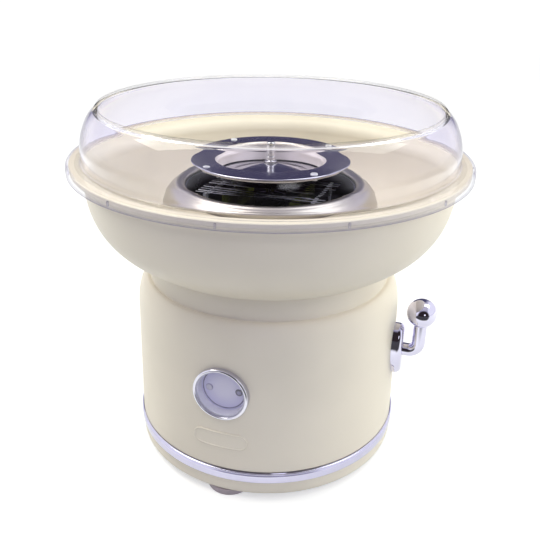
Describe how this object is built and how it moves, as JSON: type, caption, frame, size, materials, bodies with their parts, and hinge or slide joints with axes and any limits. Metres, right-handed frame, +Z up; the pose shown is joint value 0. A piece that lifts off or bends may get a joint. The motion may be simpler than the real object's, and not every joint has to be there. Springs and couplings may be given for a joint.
{
  "type": "candy floss machine",
  "caption": "Table-top electric candy floss machine: cream body and bowl, clear splash guard, spinning metal head over a wire heater, and a chrome side lever.",
  "frame": {"origin": "on the machine's axis, at the level its rubber feet stand on", "axes": "+Z up along the head's axis, -Y towards the badge at the front, +X towards the side with the lever"},
  "size_m": [0.29, 0.29, 0.2695],
  "materials": {
    "cream_plastic": "smooth gloss cream",
    "clear_plastic": "clear, polished",
    "soft_rubber": "matt grey-brown",
    "trim_chrome": "mirror chrome",
    "collar_aluminium": "polished",
    "head_aluminium": "polished, spun",
    "rivet_aluminium": "bright",
    "pot_steel": "heat-stained inside",
    "plated_steel": "zinc plated",
    "ceramic": "unglazed white ceramic",
    "mica": "olive, flaky",
    "heater_metal": "bare wire and rod",
    "motor_steel": "zinc plated, satin",
    "core_steel": "stacked sheets",
    "ferrite": "matt black",
    "bearing_bronze": "sintered",
    "copper": "enamelled wire",
    "shaft_steel": "ground",
    "black_plastic": "matt",
    "white_plastic": "matt",
    "dial_print": "printed disc",
    "lamp_white": "milky",
    "lamp_dark": "dark",
    "plate_cream": "pressed, blank",
    "cutout_metal": "pressed can",
    "board_green": "printed circuit board"
  },
  "bodies": {
    "housing": {"base_pan": "cream_plastic", "body_shell": "cream_plastic", "badge_lens": "clear_plastic", "rubber_feet": "soft_rubber", "rubber_dampers": "soft_rubber", "cord_gland": "soft_rubber", "trim_band": "trim_chrome", "badge_bezel": "trim_chrome", "lever_scutcheon": "trim_chrome", "heater_collar": "collar_aluminium", "heater_pot": "pot_steel", "heat_shield": "pot_steel", "base_screws": "plated_steel", "collar_screws": "plated_steel", "pot_screws": "plated_steel", "motor_screws": "plated_steel", "terminal_screws": "plated_steel", "standoffs": "plated_steel", "motor_plate": "plated_steel", "switch_bracket": "plated_steel", "ceramic_spacers": "ceramic", "heater_terminals": "ceramic", "mica_strips": "mica", "heater_rods": "heater_metal", "heater_wires": "heater_metal", "motor_can": "motor_steel", "field_magnets": "ferrite", "brushes": "ferrite", "upper_bush": "bearing_bronze", "lower_bush": "bearing_bronze", "brush_holders": "bearing_bronze", "motor_end_cap": "black_plastic", "switch_body": "black_plastic", "terminal_block": "white_plastic", "badge_housing": "white_plastic", "badge_dial": "dial_print", "power_lamp": "lamp_white", "heat_lamp": "lamp_dark", "name_plate": "plate_cream", "thermal_cutout": "cutout_metal", "rectifier_board": "board_green"},
    "rotor": {"motor_shaft": "shaft_steel", "drive_pin": "shaft_steel", "cooling_fan": "white_plastic", "armature_core": "core_steel", "armature_windings": "copper", "commutator": "copper"},
    "spinning_head": {"head_top_plate": "head_aluminium", "head_lower_pan": "head_aluminium", "head_rivets": "rivet_aluminium", "head_hub": "head_aluminium", "head_post": "head_aluminium"},
    "lever": {"lever_arm": "trim_chrome", "lever_knob": "trim_chrome", "lever_clip": "plated_steel", "lever_cam": "black_plastic"},
    "plunger": {"switch_plunger": "white_plastic"},
    "bowl": {"floss_bowl": "cream_plastic"},
    "guard": {"splash_guard": "clear_plastic"}
  },
  "joints": [
    {"name": "head_spin", "type": "hinge", "parent": "housing", "child": "rotor", "pos_m": [0, 0, 0.12], "axis": [0, 0, 1], "continuous": true},
    {"name": "head_lift", "type": "slide", "parent": "rotor", "child": "spinning_head", "axis": [0, 0, 1], "range_m": [0, 0.06]},
    {"name": "lever_turn", "type": "hinge", "parent": "housing", "child": "lever", "pos_m": [0.105, 0, 0.089], "axis": [1, 0, 0], "range_deg": [0, 90]},
    {"name": "switch_press", "type": "slide", "parent": "housing", "child": "plunger", "axis": [0, 0, -1], "range_m": [0, 0.0021]},
    {"name": "bowl_lift", "type": "slide", "parent": "housing", "child": "bowl", "axis": [0, 0, 1], "range_m": [0, 0.09]},
    {"name": "guard_lift", "type": "slide", "parent": "bowl", "child": "guard", "axis": [0, 0, 1], "range_m": [0, 0.06]}
  ],
  "couplings": [
    {"joint": "switch_press", "follows": "lever_turn", "m_per_rad": 0.0012732}
  ]
}
